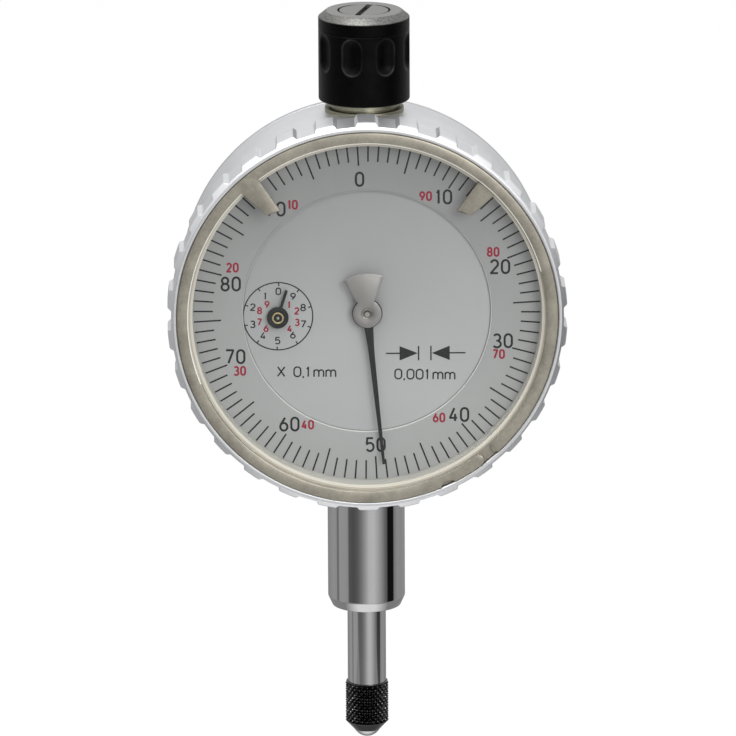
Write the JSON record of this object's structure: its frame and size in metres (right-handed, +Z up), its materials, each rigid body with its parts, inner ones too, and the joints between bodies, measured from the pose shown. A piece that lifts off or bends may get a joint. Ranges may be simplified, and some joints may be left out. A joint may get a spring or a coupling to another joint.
{
  "type": "dial indicator",
  "caption": "Round dial gauge on a clamping stem, with a sprung plunger that turns a long pointer and a small counting hand, a turning bezel and tolerance marks.",
  "frame": {"origin": "on the axis of the clamping stem, in the middle of its straight length", "axes": "+Z up along the stem and plunger, +Y out of the back cover, -Y out of the dial, +X to the right of a person who reads the dial"},
  "size_m": [0.0406, 0.0188, 0.0776],
  "materials": {
    "satin_alloy": "satin plated",
    "cover_alloy": "satin",
    "ground_steel": "ground",
    "screw_steel": "turned",
    "spring_steel": "drawn",
    "nickel_beige": "brushed, warm nickel",
    "trim_beige": "satin",
    "black_anodised": "black anodised",
    "black_oxide": "black oxide, knurled",
    "dial_silver": "matt silver, printed",
    "hand_black": "matt black",
    "hand_silver": "satin",
    "brass": "turned",
    "plated_brass": "plated",
    "ruby": "polished",
    "carbide": "polished",
    "clear_crystal": "clear"
  },
  "bodies": {
    "case": {"case_body": "satin_alloy", "back_cover": "cover_alloy", "cover_screw_1": "screw_steel", "cover_screw_2": "screw_steel", "cover_screw_3": "screw_steel", "cover_screw_4": "screw_steel", "stem": "ground_steel", "lower_guide_bush": "brass", "upper_guide_bush": "nickel_beige", "bezel_retaining_wire": "spring_steel", "dial_disc": "dial_silver", "front_plate": "plated_brass", "middle_plate": "plated_brass", "plate_screw_1": "screw_steel", "plate_screw_2": "screw_steel", "plate_screw_3": "screw_steel", "plate_screw_4": "screw_steel", "pillar_1": "plated_brass", "pillar_2": "plated_brass", "pillar_3": "plated_brass", "pillar_screw_1": "screw_steel", "pillar_screw_2": "screw_steel", "pillar_screw_3": "screw_steel", "centre_jewel_front": "ruby", "centre_jewel_rear": "ruby", "rear_bridge": "plated_brass", "bridge_screw_1": "screw_steel", "bridge_screw_2": "screw_steel", "hairspring": "spring_steel", "hairspring_stud": "plated_brass", "measuring_force_spring": "spring_steel"},
    "plunger_unit": {"plunger": "ground_steel", "contact_holder": "black_oxide", "contact_ball": "carbide", "lifting_cap": "black_anodised", "cap_plug": "black_anodised", "rack_sleeve": "plated_brass", "stop_collar": "spring_steel", "guide_pin": "ground_steel", "spring_collar": "spring_steel", "shock_spring": "spring_steel"},
    "bezel": {"bezel_ring": "satin_alloy", "crystal": "clear_crystal", "trim_ring": "trim_beige", "outer_scale": "dial_silver"},
    "left_mark": {"tolerance_mark_left": "nickel_beige"},
    "right_mark": {"tolerance_mark_right": "nickel_beige"},
    "rack_arbor": {"rack_pinion": "ground_steel", "rack_wheel": "brass"},
    "counter": {"counter_arbor": "ground_steel", "counter_pinion": "ground_steel", "counter_wheel": "brass", "counting_hand": "hand_black", "counting_hand_tube": "brass"},
    "pointer": {"pointer_arbor": "ground_steel", "pointer_blade": "hand_black", "pointer_counterweight": "hand_silver", "pointer_hub": "hand_silver"},
    "hairspring_unit": {"hairspring_wheel": "brass", "hairspring_arbor": "ground_steel"}
  },
  "joints": [
    {"name": "pointer_spin", "type": "hinge", "parent": "case", "child": "pointer", "pos_m": [0, -0.0109, 0.0265], "axis": [0, 1, 0], "range_deg": [0, 4032]},
    {"name": "plunger_slide", "type": "slide", "parent": "case", "child": "plunger_unit", "axis": [0, 0, 1], "range_m": [0, 0.00112], "stiffness_N_per_m": 300, "springref_m": -0.0035, "deforming": ["measuring_force_spring"]},
    {"name": "rack_arbor_spin", "type": "hinge", "parent": "case", "child": "rack_arbor", "pos_m": [0.00369, 0, 0.026], "axis": [0, 1, 0], "range_deg": [0, 80.64]},
    {"name": "counter_spin", "type": "hinge", "parent": "case", "child": "counter", "pos_m": [-0.0091, 0, 0.026], "axis": [0, 1, 0], "range_deg": [-403.2, 0]},
    {"name": "hairspring_wheel_spin", "type": "hinge", "parent": "case", "child": "hairspring_unit", "pos_m": [0.00449, -0.007, 0.03099], "axis": [0, 1, 0], "range_deg": [-604.8, 0]},
    {"name": "bezel_turn", "type": "hinge", "parent": "case", "child": "bezel", "pos_m": [0, -0.0109, 0.0265], "axis": [0, 1, 0], "continuous": true},
    {"name": "left_mark_turn", "type": "hinge", "parent": "bezel", "child": "left_mark", "pos_m": [0, -0.0137, 0.0265], "axis": [0, 1, 0], "continuous": true},
    {"name": "right_mark_turn", "type": "hinge", "parent": "bezel", "child": "right_mark", "pos_m": [0, -0.0132, 0.0265], "axis": [0, 1, 0], "continuous": true}
  ],
  "couplings": [
    {"joint": "rack_arbor_spin", "follows": "plunger_slide", "rad_per_m": 1256.6},
    {"joint": "counter_spin", "follows": "plunger_slide", "rad_per_m": -6283.2},
    {"joint": "pointer_spin", "follows": "plunger_slide", "rad_per_m": 62832},
    {"joint": "hairspring_wheel_spin", "follows": "plunger_slide", "rad_per_m": -9424.8}
  ]
}
